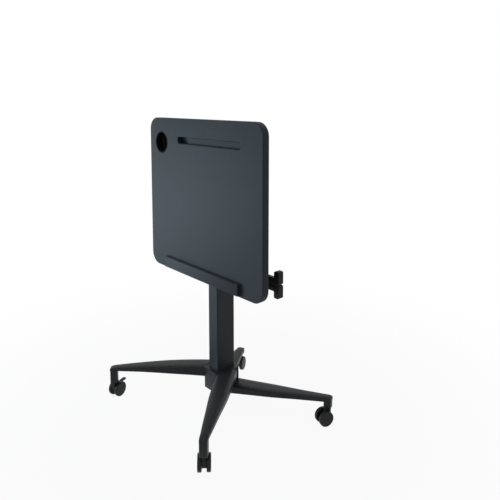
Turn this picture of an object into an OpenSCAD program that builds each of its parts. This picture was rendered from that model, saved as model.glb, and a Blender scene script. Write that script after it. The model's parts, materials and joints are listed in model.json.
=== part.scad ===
// Flip top training table: a height-adjustable column on four legs with casters, and a top that tilts
// from flat to upright. Millimetres. +Z is up, -Y is the user's side, +X is the user's right.
// The model stands with its top upright. The origin is on the floor, in the middle of the footprint.

/* [Top] */
// Width of the top, left to right
top_w = 600; // [560:5:760]
// Depth of the top, from the user's edge to the far edge
top_d = 540; // [500:5:640]
// Thickness of the top
top_t = 25; // [20:1:32]
// Radius of the top's four corners
top_corner_r = 42; // [20:1:70]
// Radius of the top's eased edges
top_edge_r = 3; // [1:0.5:6]
// Distance from the tilt shaft to the user's edge of the top
near_reach = 294; // [270:1:340]
// Distance from the tilt shaft to the underside of the top
shaft_drop = 62; // [56:1:80]

/* [Cup holder] */
// Inside radius of the cup holder
cup_r = 35.5; // [30:0.5:45]
// Depth of the cup holder below the work surface
cup_depth = 30; // [27:1:50]
// Wall of the cup holder
cup_wall = 1.6; // [1.2:0.1:3]
// Width of the cup holder's flange
cup_flange = 2; // [1:0.1:4]
// Distance from the top's left edge to the middle of the cup holder
cup_in_x = 74; // [60:1:100]
// Distance from the top's far edge to the middle of the cup holder
cup_in_y = 87; // [60:1:120]

/* [Tray groove] */
// Width of the groove
groove_w = 22.6; // [14:0.1:30]
// Depth of the groove
groove_depth = 10; // [6:0.5:14]
// Radius of the groove's corners
groove_r = 7; // [4:0.5:9]
// Radius between the groove's floor and its walls
groove_floor_r = 4; // [2:0.5:6]
// Radius of the groove's rounded rim
groove_rim_r = 2.5; // [1:0.5:4]
// Length of the deeper well at the groove's left end
well_l = 46; // [30:1:80]
// Depth of the well
well_depth = 19; // [14:0.5:19]
// Distance from the top's left edge to the groove
groove_in_x = 175; // [150:1:190]
// Distance from the top's right edge to the groove
groove_end_in = 99; // [60:1:200]
// Distance from the top's far edge to the middle of the groove
groove_in_y = 74; // [50:1:110]

/* [Edge stop] */
// Length of the edge stop
stop_l = 398; // [200:1:500]
// Width of the edge stop
stop_w = 38; // [20:1:50]
// Height of the edge stop above the work surface
stop_h = 12; // [6:0.5:20]
// Distance from the user's edge to the edge stop
stop_in = 6; // [4:0.5:12]
// Chamfer along the edge stop
stop_chamfer = 2.5; // [1:0.5:4]

/* [Column] */
// Width of the outer tube
outer_w = 50; // [46:1:60]
// Depth of the outer tube
outer_d = 75; // [70:1:90]
// Wall of the outer tube
outer_wall = 2.5; // [2:0.1:3]
// Radius of the outer tube's corners
outer_r = 4; // [3:0.5:6]
// Height of the outer tube's mouth above the floor
outer_top_z = 580; // [560:1:590]
// Gap between the outer and the inner tube on each side
tube_gap = 1.5; // [1.2:0.1:2]
// Wall of the inner tube
inner_wall = 2; // [1.5:0.1:2.5]
// Height of the tilt shaft above the floor, in the stored pose
shaft_z = 740; // [736:1:760]
// How far the column goes down from the stored pose
slide_down = 90; // [60:1:90]
// How far the column goes up from the stored pose
slide_up = 290; // [200:1:290]

/* [Base] */
// Width of the hub
hub_w = 88; // [84:1:100]
// Depth of the hub
hub_d = 100; // [96:1:116]
// Height of the hub's underside above the floor
hub_z0 = 47; // [42:1:50]
// Height of the hub's top above the floor
hub_z1 = 118; // [112:1:124]
// Cut across the hub's four upright corners
hub_cut = 11; // [6:1:16]
// Distance from the column's middle line to a front leg's caster
front_x = 262; // [240:1:290]
// Distance from the column to the front casters, towards the user
front_y = 277; // [250:1:300]
// Distance from the column to the right rear caster, to the right
rear_right_x = 344; // [320:1:380]
// Distance from the column to the right rear caster, away from the user
rear_right_y = 165; // [130:1:180]
// Distance from the column to the left rear caster, to the left
rear_left_x = 118; // [100:1:130]
// Distance from the column to the left rear caster, away from the user
rear_left_y = 190; // [180:1:210]
// Half the width of a leg at the hub
leg_root_half = 31; // [27:0.5:34]
// Half the width of a leg at its end
leg_end_half = 13; // [12.5:0.5:16]
// Height of the drops' undersides above the floor
drop_z = 55.6; // [53:0.1:58]

/* [Casters] */
// Radius of the wheels
wheel_r = 25; // [22:0.5:25]
// Width of one wheel
wheel_w = 12.5; // [10:0.5:14]
// Distance from the swivel axis to the wheels' axle
trail = 14; // [12:0.5:18]

/* [Paddles] */
// Length of a paddle's pad along the edge
pad_l = 20; // [14:0.5:28]
// Depth of a paddle's pad
pad_w = 40.5; // [34:0.5:44]
// Thickness of a paddle's pad
pad_t = 20; // [14:0.5:24]
// Gap between the two pads
pad_gap = 2.4; // [1.5:0.1:5]

/* [Hidden] */
$fn = 48;

// Shared clearances and finishes
over = 1;              // overrun of cuts
run_gap = 0.05;        // radial gap of a turning or sliding shaft
fit_gap = 0.15;        // gap round a fixed piece in its seat
slide_gap = 0.3;       // gap round a piece that slides in a tube
steel = "#8d9094";
black = "#191b1d";
plastic = "#141516";

// Top, in its own frame: origin on the tilt shaft, +Z towards the work surface, +Y towards the far edge
under_z = shaft_drop;
face_z = under_z + top_t;
near_y = -near_reach;
far_y = near_y + top_d;
top_mid_y = near_y + top_d / 2;
cup_x = -top_w / 2 + cup_in_x;
cup_y = far_y - cup_in_y;
cup_outer_r = cup_r + cup_wall;
cup_flange_t = 1.2;
cup_floor_t = 2;
groove_x0 = -top_w / 2 + groove_in_x;
groove_l = top_w - groove_in_x - groove_end_in;
groove_y = far_y - groove_in_y;

// Column
inner_w = outer_w - 2 * outer_wall - 2 * tube_gap;
inner_d = outer_d - 2 * outer_wall - 2 * tube_gap;
inner_r = outer_r - 1 * tube_gap / 2;
hub_floor_z = hub_z0 + 10;
plate_t = 3;
cover_t = 2.5;
spring_foot_z = hub_floor_z;
spring_r = 14;
spring_wall = 2;
spring_end_t = 8;
rod_r = 5;
piston_t = 12;
stroke = slide_down + slide_up;
spring_z0 = spring_foot_z + spring_end_t;
piston_z = spring_z0 + over + slide_down;
spring_z1 = piston_z + piston_t + slide_up + over;
glide_h = 40;
glide_lip = 4;
inner_z0 = hub_floor_z + spring_end_t + slide_down + glide_lip + over;
guide_h = 42;
guide_rim = 4;

// Column head, with heights counted down from the tilt shaft
barrel_r = 18;
shaft_r = 8;
shaft_bore_r = 4.5;
head_drop = 48;                    // from the tilt shaft down to the head's seat
head_z = shaft_z - head_drop;
head_flange_t = 6;
head_plug_h = 40;
neck_w = 44;
neck_d = 48;
chamber_w = 26;
chamber_z0 = head_z - 8;
chamber_z1 = shaft_z - barrel_r - 2;
chamber_front = 20;
rod_top_z = head_z - 2;
pin_r = 2;
rod_tip_h = 13;                    // from the rod's top to the valve pin's top
pin_top_z = rod_top_z + rod_tip_h;
pin_depth = 16;
lever_gap = 0.4;
lever_t = 5;
lever_w = 12;
lever_pivot_y = 20;
lever_boss_r = 5;
lever_z = pin_top_z + lever_gap + lever_t / 2;
lever_front = 6;
lever_rear = 22;
trunnion_r = 3;
trunnion_l = 5;
cable_r = 2;
cable_y = 36;
cable_bend = 10;
cable_end_z = lever_z + lever_t / 2 + 4;

// Where the release cables run under the top, and how far the tilt brackets and the plate reach towards them
pivot_in = 118;                    // from the top's edge to the paddles' pin
pivot_x = top_w / 2 - pivot_in;
cable_run_in = 26;                 // from the paddles' pin to the cables' run
cable_run_x = pivot_x - cable_run_in;
cable_step = 12;
cable_lead = 10;                   // straight run of the tilt cable before its bend
clip_w = 12;
clip_wall = 2;
clip_clear = 10;
mount_half_x = cable_run_x - cable_step - cable_r - clip_wall - clip_clear;

// Tilt lock on the right bracket
bracket_t = 6;
housing_l = 23;
bracket_x = cable_run_x - cable_step - cable_bend - cable_lead - housing_l - bracket_t;
barrel_end_gap = 20;               // from the barrel's end to the bracket
barrel_half = bracket_x - barrel_end_gap;
bracket_foot = 24;
bracket_half = 66;
bracket_boss_r = 18;
bush_r = 10;
bush_flange_r = 13;
bush_flange_t = 1.5;
collar_r = 13;
collar_t = 8;
shaft_end = 8;                     // shaft past its collar
shaft_half = bracket_x + bracket_t + collar_t + shaft_end;
disc_r = 48;
disc_t = 5;
lock_r = 38;
plunger_r = 5;
plunger_nose_gap = 0.3;
plunger_l = 38;
housing_r = 9;
stop_r = 26;
stop_pin_r = 4;
slot_gap = 0.4;
tilt_range = 90;
stop_angle = 135;
mount_half_y = 90;
mount_corner_r = 12;
plate_screw_in = 14;               // from the plate's edge to its screws
bracket_screw_in = 12;             // from a bracket foot's end to its screws
bracket_screw_side = 9;            // from a bracket foot's outer edge to its screws
stop_screw_in = 49;                // from the edge stop's end to its outer screws

// Screws
screw_r = 2.1;
screw_head_r = 5;
screw_head_h = 2.8;
screw_l = 15;
hole_gap = 0.2;

// Paddles
pads_in = 48;                      // from the user's edge to the gap between the pads
pads_y = near_y + pads_in;
pad_top_z = 22;
pad_x1 = top_w / 2;
pad_r = 5;
neck_w_y = 20;
neck_t = 11;
pivot_z = pad_top_z - neck_t / 2;
pivot_r = 3;
lever_hub_r = 9;
spring_sleeve_r = 6;
spring_sleeve_l = 11;
cheek_t = 4;
cheek_gap = 0.4;
cheek_half_x = 16;
anchor_margin = 7;
paddle_base_end = 30;              // from the pin to the paddle bracket's outer end
paddle_screw_in = 8;               // from the paddle bracket's ends to its screws
paddle_screw_y = 26;
paddle_base_x0 = cable_run_x - cable_step - anchor_margin;
paddle_base_x1 = pivot_x + paddle_base_end;

// Cables
cable_top_z = under_z - cable_bend;

// Legs: shares along the length, of the half width and of the heights
leg_start_gap = 1;                 // from the column's side to where a front leg starts
front_start = [outer_w / 2 + leg_start_gap, 7];
rear_right_start = [30, 20];
rear_left_start = [-18, -3];
front_stem = [front_x, -front_y];
rear_right_stem = [rear_right_x, rear_right_y];
rear_left_stem = [-rear_left_x, rear_left_y];
drop_half = 13;
drop_corner_r = 5;
drop_side = 0.4;                   // the drop's sides stand this far inside the leg's
leg_crown = 9;
bolt_r = 4;
bolt_head_r = 6.5;
bolt_head_h = 4;
bolt_l = 40;
socket_r = 8;
socket_flange_r = 11;
socket_flange_t = 1.2;
stem_r = 5;
stem_top_z = 88;
socket_cap = 3;                    // least height of a leg's side above its socket

along_shares = [0, 0.15, 0.3, 0.42, 0.52, 0.62, 0.71, 0.8, 0.88, 0.94, 0.975, 1];
width_shares = [1, 0.99, 0.96, 0.9, 0.77, 0.585, 0.425, 0.28, 0.14, 0.03, 0, -0.12];
crown_shares = [1, 1, 1, 0.98, 0.94, 0.88, 0.82, 0.75, 0.68, 0.6, 0.52, 0.4];

// Heights above the floor of a leg's ridge and underside: at the hub, halfway and at the end
front_ridge = [117.5, 120.8, 111.5];
front_under = [76.5, 94.5, 99.5];
rear_right_ridge = [70, 79.5, 94];
rear_right_under = [36.5, 59.5, 77.5];
rear_left_ridge = [72, 77, 77.5];
rear_left_under = [36, 48, 58.5];

// Casters
wheel_gap_half = 7;
wheel_edge_r = 3;
wheel_dish = 1;
axle_r = 3;
caster_body_half = 6.4;
caster_body_r = 15;
caster_boss_r = 9.5;
caster_boss_h = 1.6;
caster_top_gap = 0.4;
stem_in_body = 18;
cap_t = 0.8;
cap_r = 5;
pedal_w = 12;
pedal_l = 30;
pedal_t = 4;
pedal_pivot_x = 25;
pedal_pivot_z = 40;
pedal_pivot_r = 2;
pedal_boss_r = 4.5;
pedal_leaf_x = 5;                  // from the pivot to the wide leaf
pedal_leaf_r = 4;
fork_gap = 0.3;

// Swivel headings: the direction from the stem to the wheels
heading_fl = 110;
heading_fr = 141;
heading_rr = -109;
heading_rl = -60;

// Middle of the footprint, seen from the column's axis
end_half = leg_end_half + (leg_root_half - leg_end_half) * width_shares[len(width_shares) - 1];
footprint_right = rear_right_x
    + max(wheels_reach(heading_rr, 0), leg_reach(rear_right_start, rear_right_stem, 0));
footprint_front = front_y
    + max(wheels_reach(heading_fl, -90), wheels_reach(heading_fr, -90), leg_reach(front_start, front_stem, -90));
footprint_back = rear_left_y
    + max(wheels_reach(heading_rl, 90), leg_reach(rear_left_start, rear_left_stem, 90));
footprint_x = (footprint_right - top_w / 2) / 2;
footprint_y = (footprint_back - footprint_front) / 2;

function across(p) = [-p[0], p[1]];
function unit(from, to) = (to - from) / norm(to - from);
function smooth(a, b, c, t) = (1 - t) * (1 - t) * a + 2 * t * (1 - t) * (2 * b - (a + c) / 2) + t * t * c;
function signed_power(v, p) = sign(v) * pow(abs(v), p);

// How far a caster's wheels, or a leg's end, reach past the stem in the direction way
function wheels_reach(heading, way) = trail * cos(heading - way) + wheel_edge_r
    + (wheel_r - wheel_edge_r) * abs(cos(heading - way))
    + (wheel_gap_half + wheel_w - wheel_edge_r) * abs(sin(heading - way));
function leg_reach(start, stem, way) = drop_half * (unit(start, stem) * [cos(way), sin(way)])
    + end_half * abs(unit(start, stem) * [-sin(way), cos(way)]);

function socket_top(ridge) = min(stem_top_z, ridge[2] - leg_crown - socket_cap);

module place() {
    translate([-footprint_x, -footprint_y, 0]) children();
}

module on_top() {
    place() translate([0, 0, shaft_z]) rotate([90, 0, 0]) children();
}

module along_x(x0, x1, r) {
    translate([x0, 0, 0]) rotate([0, 90, 0]) cylinder(h = x1 - x0, r = r);
}

module along_y(y0, y1, r) {
    translate([0, y0, 0]) rotate([-90, 0, 0]) cylinder(h = y1 - y0, r = r);
}

module round_rect(w, d, r) {
    square([w - 2 * r, d], center = true);
    square([w, d - 2 * r], center = true);
    for (sx = [-1, 1], sy = [-1, 1])
        translate([sx * (w / 2 - r), sy * (d / 2 - r)]) circle(r = r);
}

// Quarter bend of a cable, from +X towards +Y, starting at the origin
module bend(r, bend_r) {
    translate([0, bend_r, 0]) rotate([0, 0, -90])
        rotate_extrude(angle = 90) translate([bend_r, 0]) circle(r = r);
}

module screw(l) {
    cylinder(h = l, r = screw_r);
    translate([0, 0, -screw_head_h]) cylinder(h = screw_head_h, r = screw_head_r);
}

module screw_hole(l) {
    translate([0, 0, -over]) cylinder(h = l + over + fit_gap, r = screw_r + hole_gap);
}

// Top plate with rounded corners and eased edges

module edge_profile(reach, t, e) {
    square([reach - e, t]);
    translate([reach - e, e]) square([e, t - 2 * e]);
    for (z = [e, t - e]) intersection() {
        translate([reach - e, z]) circle(r = e);
        translate([reach - e, z < t / 2 ? 0 : t - e]) square([e, e]);
    }
}

// A slab w by d with corner radius r, whose edge is the profile given as a child
module edged_slab(w, d, r, z0, z1) {
    translate([-w / 2 + r, -d / 2 + r, z0]) cube([w - 2 * r, d - 2 * r, z1 - z0]);
    for (turn = [0, 90, 180, 270]) {
        long = turn % 180 == 0 ? d : w;
        reach = turn % 180 == 0 ? w : d;
        rotate([0, 0, turn]) translate([reach / 2 - r, long / 2 - r, 0])
            rotate([90, 0, 0]) linear_extrude(long - 2 * r) children();
        rotate([0, 0, turn]) translate([reach / 2 - r, long / 2 - r, 0])
            rotate_extrude(angle = 90) children();
    }
}

// Section of the groove, from its middle outwards: rounded floor corner and rounded rim
module groove_profile() {
    wall = groove_r;
    low = -groove_depth;
    translate([0, low]) square([wall - groove_floor_r, groove_depth + over]);
    translate([wall - groove_floor_r, low + groove_floor_r])
        square([groove_floor_r, groove_depth - groove_floor_r + over]);
    intersection() {
        translate([wall - groove_floor_r, low + groove_floor_r]) circle(r = groove_floor_r);
        translate([wall - groove_floor_r, low]) square([groove_floor_r, groove_floor_r]);
    }
    difference() {
        translate([wall, -groove_rim_r]) square([groove_rim_r, groove_rim_r + over]);
        translate([wall + groove_rim_r, -groove_rim_r]) circle(r = groove_rim_r);
    }
}

plate_screws = [for (s = [-1, 0, 1], t = [-1, 1]) [s * mount_half_x / 2, t * (mount_half_y - plate_screw_in)]];
bracket_screws = [
    for (s = [-1, 1], t = [-1, 1])
        [s * (bracket_x + bracket_foot - bracket_screw_side), t * (bracket_half - bracket_screw_in)]
];
stop_screws = [for (s = [-1, 0, 1]) [s * (stop_l / 2 - stop_screw_in), near_y + stop_in + stop_w / 2]];
paddle_screws = [
    for (x = [paddle_base_x0 + paddle_screw_in, paddle_base_x1 - paddle_screw_in], s = [-1, 1])
        [x, pads_y + s * paddle_screw_y]
];

module tabletop() {
    color(black) on_top() difference() {
        translate([0, top_mid_y, under_z]) edged_slab(top_w, top_d, top_corner_r, 0, top_t)
            edge_profile(top_corner_r, top_t, top_edge_r);
        translate([cup_x, cup_y, under_z - over]) cylinder(h = top_t + 2 * over, r = cup_outer_r + fit_gap);
        translate([cup_x, cup_y, face_z - cup_flange_t])
            cylinder(h = cup_flange_t + over, r = cup_outer_r + cup_flange + fit_gap);
        translate([groove_x0 + groove_l / 2, groove_y, face_z])
            edged_slab(groove_l, groove_w, groove_r, -groove_depth, over) groove_profile();
        translate([groove_x0 + well_l / 2, groove_y, face_z - well_depth])
            linear_extrude(well_depth + over) round_rect(well_l, groove_w, groove_r);
        for (p = plate_screws) translate([p[0], p[1], under_z]) screw_hole(screw_l - plate_t);
        for (p = bracket_screws) translate([p[0], p[1], under_z]) screw_hole(screw_l - 2 * plate_t);
        for (p = paddle_screws) translate([p[0], p[1], under_z]) screw_hole(screw_l - plate_t);
        for (p = stop_screws) translate([p[0], p[1], under_z]) {
            screw_hole(top_t + over);
            translate([0, 0, -over]) cylinder(h = screw_head_h + over + fit_gap, r = screw_head_r + hole_gap);
        }
    }
}

module cup_holder() {
    color(plastic) on_top() translate([cup_x, cup_y, face_z]) rotate_extrude() {
        translate([0, -cup_depth - cup_floor_t]) square([cup_outer_r, cup_floor_t]);
        translate([cup_r, -cup_depth]) square([cup_wall, cup_depth]);
        translate([cup_r, -cup_flange_t]) square([cup_wall + cup_flange, cup_flange_t]);
    }
}

module edge_stop() {
    color(black) on_top() difference() {
        translate([-stop_l / 2, near_y + stop_in, face_z]) rotate([90, 0, 90]) linear_extrude(stop_l)
            polygon([
                [0, 0], [stop_w, 0], [stop_w, stop_h - stop_chamfer], [stop_w - stop_chamfer, stop_h],
                [stop_chamfer / 2, stop_h], [0, stop_h - stop_chamfer / 2]
            ]);
        for (p = stop_screws) translate([p[0], p[1], face_z]) screw_hole(stop_h / 2);
    }
}

// Tilt mechanism under the top

module mounting_plate() {
    color(black) on_top() difference() {
        translate([0, 0, under_z - plate_t]) linear_extrude(plate_t)
            round_rect(2 * mount_half_x, 2 * mount_half_y, mount_corner_r);
        for (p = concat(plate_screws, bracket_screws))
            translate([p[0], p[1], under_z - plate_t]) screw_hole(plate_t);
    }
}

module bracket_outline() {
    polygon([
        [-bracket_half, under_z - plate_t], [bracket_half, under_z - plate_t],
        [bracket_half, under_z - 3 * plate_t], [bracket_boss_r, 0], [-bracket_boss_r, 0],
        [-bracket_half, under_z - 3 * plate_t]
    ]);
    circle(r = bracket_boss_r);
}

module bracket() {
    difference() {
        union() {
            translate([bracket_x, 0, 0]) rotate([90, 0, 90]) linear_extrude(bracket_t) bracket_outline();
            translate([bracket_x, -bracket_half, under_z - 2 * plate_t])
                cube([bracket_foot, 2 * bracket_half, plate_t]);
        }
        along_x(bracket_x - over, bracket_x + bracket_t + over, bush_r + run_gap);
        for (p = bracket_screws) if (p[0] > 0)
            translate([p[0], p[1], under_z - 2 * plate_t]) screw_hole(plate_t);
    }
}

module tilt_bracket_left() {
    color(black) on_top() mirror([1, 0, 0]) bracket();
}

module tilt_bracket_right() {
    color(black) on_top() difference() {
        bracket();
        translate([0, 0, lock_r]) along_x(bracket_x - over, bracket_x + bracket_t + over, plunger_r + run_gap);
        rotate([stop_angle - 90, 0, 0]) translate([0, 0, stop_r])
            along_x(bracket_x - over, bracket_x + bracket_t + over, stop_pin_r + run_gap);
    }
}

module bracket_bushes() {
    color(plastic) on_top() for (side = [0, 1]) mirror([side, 0, 0]) difference() {
        union() {
            along_x(bracket_x - bush_flange_t, bracket_x + bracket_t, bush_r);
            along_x(bracket_x - bush_flange_t, bracket_x, bush_flange_r);
        }
        along_x(bracket_x - bush_flange_t - over, bracket_x + bracket_t + over, shaft_r + run_gap);
    }
}

module plunger_housing() {
    color(steel) on_top() translate([bracket_x + bracket_t, 0, lock_r]) difference() {
        union() {
            along_x(0, housing_l, housing_r);
            along_x(0, plate_t, housing_r + plate_t);
        }
        along_x(-over, housing_l - plate_t, plunger_r + run_gap);
        along_x(0, housing_l + over, cable_r + hole_gap);
    }
}

module lock_plunger() {
    nose_x = barrel_half + disc_t + plunger_nose_gap;
    color(steel) on_top() translate([0, 0, lock_r]) difference() {
        along_x(nose_x, bracket_x + bracket_t + housing_l / 2, plunger_r);
        along_x(bracket_x + bracket_t, bracket_x + bracket_t + housing_l, cable_r + hole_gap);
    }
}

module stop_pin() {
    color(steel) on_top() rotate([stop_angle - 90, 0, 0]) translate([0, 0, stop_r])
        along_x(barrel_half + fit_gap, bracket_x + bracket_t + plate_t, stop_pin_r);
}

// Column head and what it carries

module tilt_shaft() {
    color(steel) place() translate([0, 0, shaft_z]) difference() {
        along_x(-shaft_half, shaft_half, shaft_r);
        along_x(-shaft_half - over, shaft_half + over, shaft_bore_r);
        cable_window();
    }
}

// Way out of the shaft and the barrel for the valve cable, towards the back
module cable_window() {
    translate([-cable_r - over, 0, -cable_r - over])
        cube([cable_bend + 3 * cable_r, neck_d / 2 + over, 2 * (cable_r + over)]);
}

module shaft_collars() {
    color(steel) place() translate([0, 0, shaft_z]) for (side = [0, 1]) mirror([side, 0, 0]) difference() {
        collar_x = bracket_x + bracket_t + slide_gap;
        along_x(collar_x, collar_x + collar_t, collar_r);
        along_x(collar_x - over, collar_x + collar_t + over, shaft_r + run_gap);
        translate([collar_x + collar_t / 2, 0, shaft_r]) cylinder(h = collar_r, r = screw_r);
    }
}

module lock_disc() {
    // The stop pin goes from stop_angle + 90 in the stored pose to stop_angle when the top is flat
    mid = stop_angle;
    end_gap = 2;
    color(steel) place() translate([barrel_half, 0, shaft_z]) rotate([90, 0, 90]) linear_extrude(disc_t)
        difference() {
            circle(r = disc_r);
            circle(r = shaft_r + run_gap);
            intersection() {
                difference() {
                    circle(r = stop_r + stop_pin_r + slot_gap);
                    circle(r = stop_r - stop_pin_r - slot_gap);
                }
                polygon([
                    [0, 0],
                    for (a = [mid - end_gap : (tilt_range + 2 * end_gap) / 4 : mid + tilt_range + end_gap])
                        2 * disc_r * [cos(a), sin(a)]
                ]);
            }
            for (a = [mid - end_gap, mid + tilt_range + end_gap])
                rotate(a) translate([stop_r, 0]) circle(r = stop_pin_r + slot_gap);
            for (a = [-60, 0, 60]) rotate(a) translate([(shaft_r + barrel_r) / 2, 0]) circle(r = screw_r);
        }
}

module column_head() {
    color(black) place() difference() {
        union() {
            translate([0, 0, head_z - head_plug_h]) linear_extrude(head_plug_h + over) round_rect(
                inner_w - 2 * inner_wall - 2 * fit_gap, inner_d - 2 * inner_wall - 2 * fit_gap, inner_r / 2);
            translate([0, 0, head_z]) linear_extrude(head_flange_t) round_rect(outer_w, outer_d, outer_r);
            translate([-neck_w / 2, -neck_d / 2, head_z]) cube([neck_w, neck_d, shaft_z - head_z]);
            translate([0, 0, shaft_z]) along_x(-barrel_half, barrel_half, barrel_r);
        }
        translate([0, 0, shaft_z]) along_x(-barrel_half - over, barrel_half + over, shaft_r + run_gap);
        translate([0, 0, shaft_z]) cable_window();
        translate([-chamber_w / 2, -chamber_front, chamber_z0])
            cube([chamber_w, chamber_front + outer_d, chamber_z1 - chamber_z0]);
        translate([0, 0, head_z - head_plug_h - over])
            cylinder(h = head_plug_h + over, r = rod_r + run_gap);
        translate([0, lever_pivot_y, lever_z]) along_x(
            -chamber_w / 2 - trunnion_l - run_gap, chamber_w / 2 + trunnion_l + run_gap, trunnion_r + run_gap);
        for (a = [-60, 0, 60]) translate([0, 0, shaft_z]) rotate([a, 0, 0])
            translate([0, (shaft_r + barrel_r) / 2, 0])
                along_x(barrel_half - screw_l, barrel_half + over, screw_r);
    }
}

module valve_lever() {
    color(steel) place() translate([0, 0, lever_z]) {
        translate([-lever_w / 2, -lever_front, -lever_t / 2])
            cube([lever_w, lever_front + lever_pivot_y + lever_rear, lever_t]);
        translate([0, lever_pivot_y, 0]) {
            along_x(-chamber_w / 2 + slide_gap, chamber_w / 2 - slide_gap, lever_boss_r);
            along_x(-chamber_w / 2 - trunnion_l, chamber_w / 2 + trunnion_l, trunnion_r);
        }
    }
}

module valve_pin() {
    color(steel) place() translate([0, 0, rod_top_z - pin_depth])
        cylinder(h = pin_top_z - rod_top_z + pin_depth, r = pin_r);
}

module valve_cable() {
    color(plastic) place() translate([0, 0, shaft_z]) {
        along_x(cable_bend, shaft_half, cable_r);
        translate([cable_bend, 0, 0]) mirror([1, 0, 0]) bend(cable_r, cable_bend);
        along_y(cable_bend, cable_y - cable_bend, cable_r);
        translate([0, cable_y - cable_bend, 0]) rotate([-90, 0, 90]) bend(cable_r, cable_bend);
        translate([0, cable_y, cable_end_z - shaft_z])
            cylinder(h = shaft_z - cable_bend - cable_end_z, r = cable_r);
    }
}

// Column

module tube_ring(w, d, r, wall, z0, z1) {
    translate([0, 0, z0]) linear_extrude(z1 - z0) difference() {
        round_rect(w, d, r);
        round_rect(w - 2 * wall, d - 2 * wall, max(r - wall, wall / 4));
    }
}

module outer_column() {
    color(black) place() tube_ring(outer_w, outer_d, outer_r, outer_wall, hub_floor_z, outer_top_z);
}

module column_guide() {
    bore_w = inner_w + 2 * slide_gap;
    bore_d = inner_d + 2 * slide_gap;
    sleeve_w = outer_w - 2 * outer_wall - 2 * fit_gap;
    sleeve_d = outer_d - 2 * outer_wall - 2 * fit_gap;
    color(plastic) place() difference() {
        union() {
            translate([0, 0, outer_top_z - guide_h]) linear_extrude(guide_h + over)
                round_rect(sleeve_w, sleeve_d, outer_r / 2);
            translate([0, 0, outer_top_z]) linear_extrude(guide_rim) round_rect(outer_w, outer_d, outer_r);
        }
        translate([0, 0, outer_top_z - guide_h - over]) linear_extrude(guide_h + guide_rim + 2 * over)
            round_rect(bore_w, bore_d, inner_r);
    }
}

module inner_column() {
    color(black) place() tube_ring(inner_w, inner_d, inner_r, inner_wall, inner_z0, head_z);
}

module lower_glide() {
    shoe_w = outer_w - 2 * outer_wall - 2 * slide_gap;
    shoe_d = outer_d - 2 * outer_wall - 2 * slide_gap;
    color(plastic) place() difference() {
        translate([0, 0, inner_z0 - glide_lip]) linear_extrude(glide_h) round_rect(shoe_w, shoe_d, outer_r / 2);
        translate([0, 0, inner_z0]) linear_extrude(glide_h)
            round_rect(inner_w + 2 * fit_gap, inner_d + 2 * fit_gap, inner_r);
        translate([0, 0, inner_z0 - glide_lip - over]) linear_extrude(glide_h)
            round_rect(inner_w - 2 * inner_wall, inner_d - 2 * inner_wall, inner_r / 2);
    }
}

module gas_cylinder() {
    color(black) place() difference() {
        translate([0, 0, spring_foot_z]) cylinder(h = spring_z1 + spring_end_t - spring_foot_z, r = spring_r);
        translate([0, 0, spring_z0]) cylinder(h = spring_z1 - spring_z0, r = spring_r - spring_wall);
        translate([0, 0, spring_z1 - over]) cylinder(h = spring_end_t + 2 * over, r = rod_r + run_gap);
    }
}

module gas_rod() {
    color(steel) place() difference() {
        union() {
            translate([0, 0, piston_z]) cylinder(h = rod_top_z - piston_z, r = rod_r);
            translate([0, 0, piston_z]) cylinder(h = piston_t, r = spring_r - spring_wall - 2 * run_gap);
        }
        translate([0, 0, rod_top_z - pin_depth - 2 * trunnion_r])
            cylinder(h = pin_depth + 2 * trunnion_r + over, r = pin_r + run_gap);
    }
}

// Base

module hub_outline(grow = 0) {
    w = hub_w / 2 + grow;
    d = hub_d / 2 + grow;
    polygon([
        [w - hub_cut, -d], [w, -d + hub_cut], [w, d - hub_cut], [w - hub_cut, d],
        [-w + hub_cut, d], [-w, d - hub_cut], [-w, -d + hub_cut], [-w + hub_cut, -d]
    ]);
}

// For each leg: its start, its stem, the height of its bolt and where along the leg the bolt begins
leg_bolts = [
    [front_start, front_stem, 98, 5],
    [across(front_start), across(front_stem), 98, 5],
    [rear_right_start, rear_right_stem, 58, 2],
    [rear_left_start, rear_left_stem, 58, 26]
];

// A leg's own frame: origin under its start, +X along it
module leg_frame(from, to) {
    step = to - from;
    translate([from[0], from[1], 0]) rotate([0, 0, atan2(step[1], step[0])]) children();
}

module bolt_holes(r) {
    for (b = leg_bolts) leg_frame(b[0], b[1]) translate([b[3], 0, b[2]]) along_x(-fit_gap, bolt_l + fit_gap, r);
}

module hub() {
    color(black) place() difference() {
        translate([0, 0, hub_z0]) linear_extrude(hub_z1 - hub_z0) hub_outline();
        translate([0, 0, hub_floor_z]) linear_extrude(hub_z1)
            round_rect(outer_w + 2 * fit_gap, outer_d + 2 * fit_gap, outer_r);
        translate([0, 0, hub_z0 - over]) linear_extrude(cover_t + over)
            round_rect(hub_w - 4 * cover_t, hub_d - 4 * cover_t, hub_cut);
        translate([0, 0, hub_z0]) cylinder(h = hub_floor_z, r = bolt_r + hole_gap);
        translate([0, 0, hub_z0]) cylinder(h = cover_t + bolt_head_h + over, r = bolt_head_r + hole_gap);
        bolt_holes(bolt_r + hole_gap);
    }
}

module hub_cover() {
    color(plastic) place() translate([0, 0, hub_z0]) linear_extrude(cover_t - fit_gap)
        round_rect(hub_w - 4 * cover_t - 2 * fit_gap, hub_d - 4 * cover_t - 2 * fit_gap, hub_cut);
}

module hub_bolts() {
    color(steel) place() {
        for (b = leg_bolts) leg_frame(b[0], b[1]) translate([b[3], 0, b[2]]) along_x(0, bolt_l, bolt_r);
        translate([0, 0, hub_z0 + cover_t + over]) {
            cylinder(h = hub_floor_z - hub_z0 - cover_t - over, r = bolt_r);
            cylinder(h = bolt_head_h, r = bolt_head_r);
        }
    }
}

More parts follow.
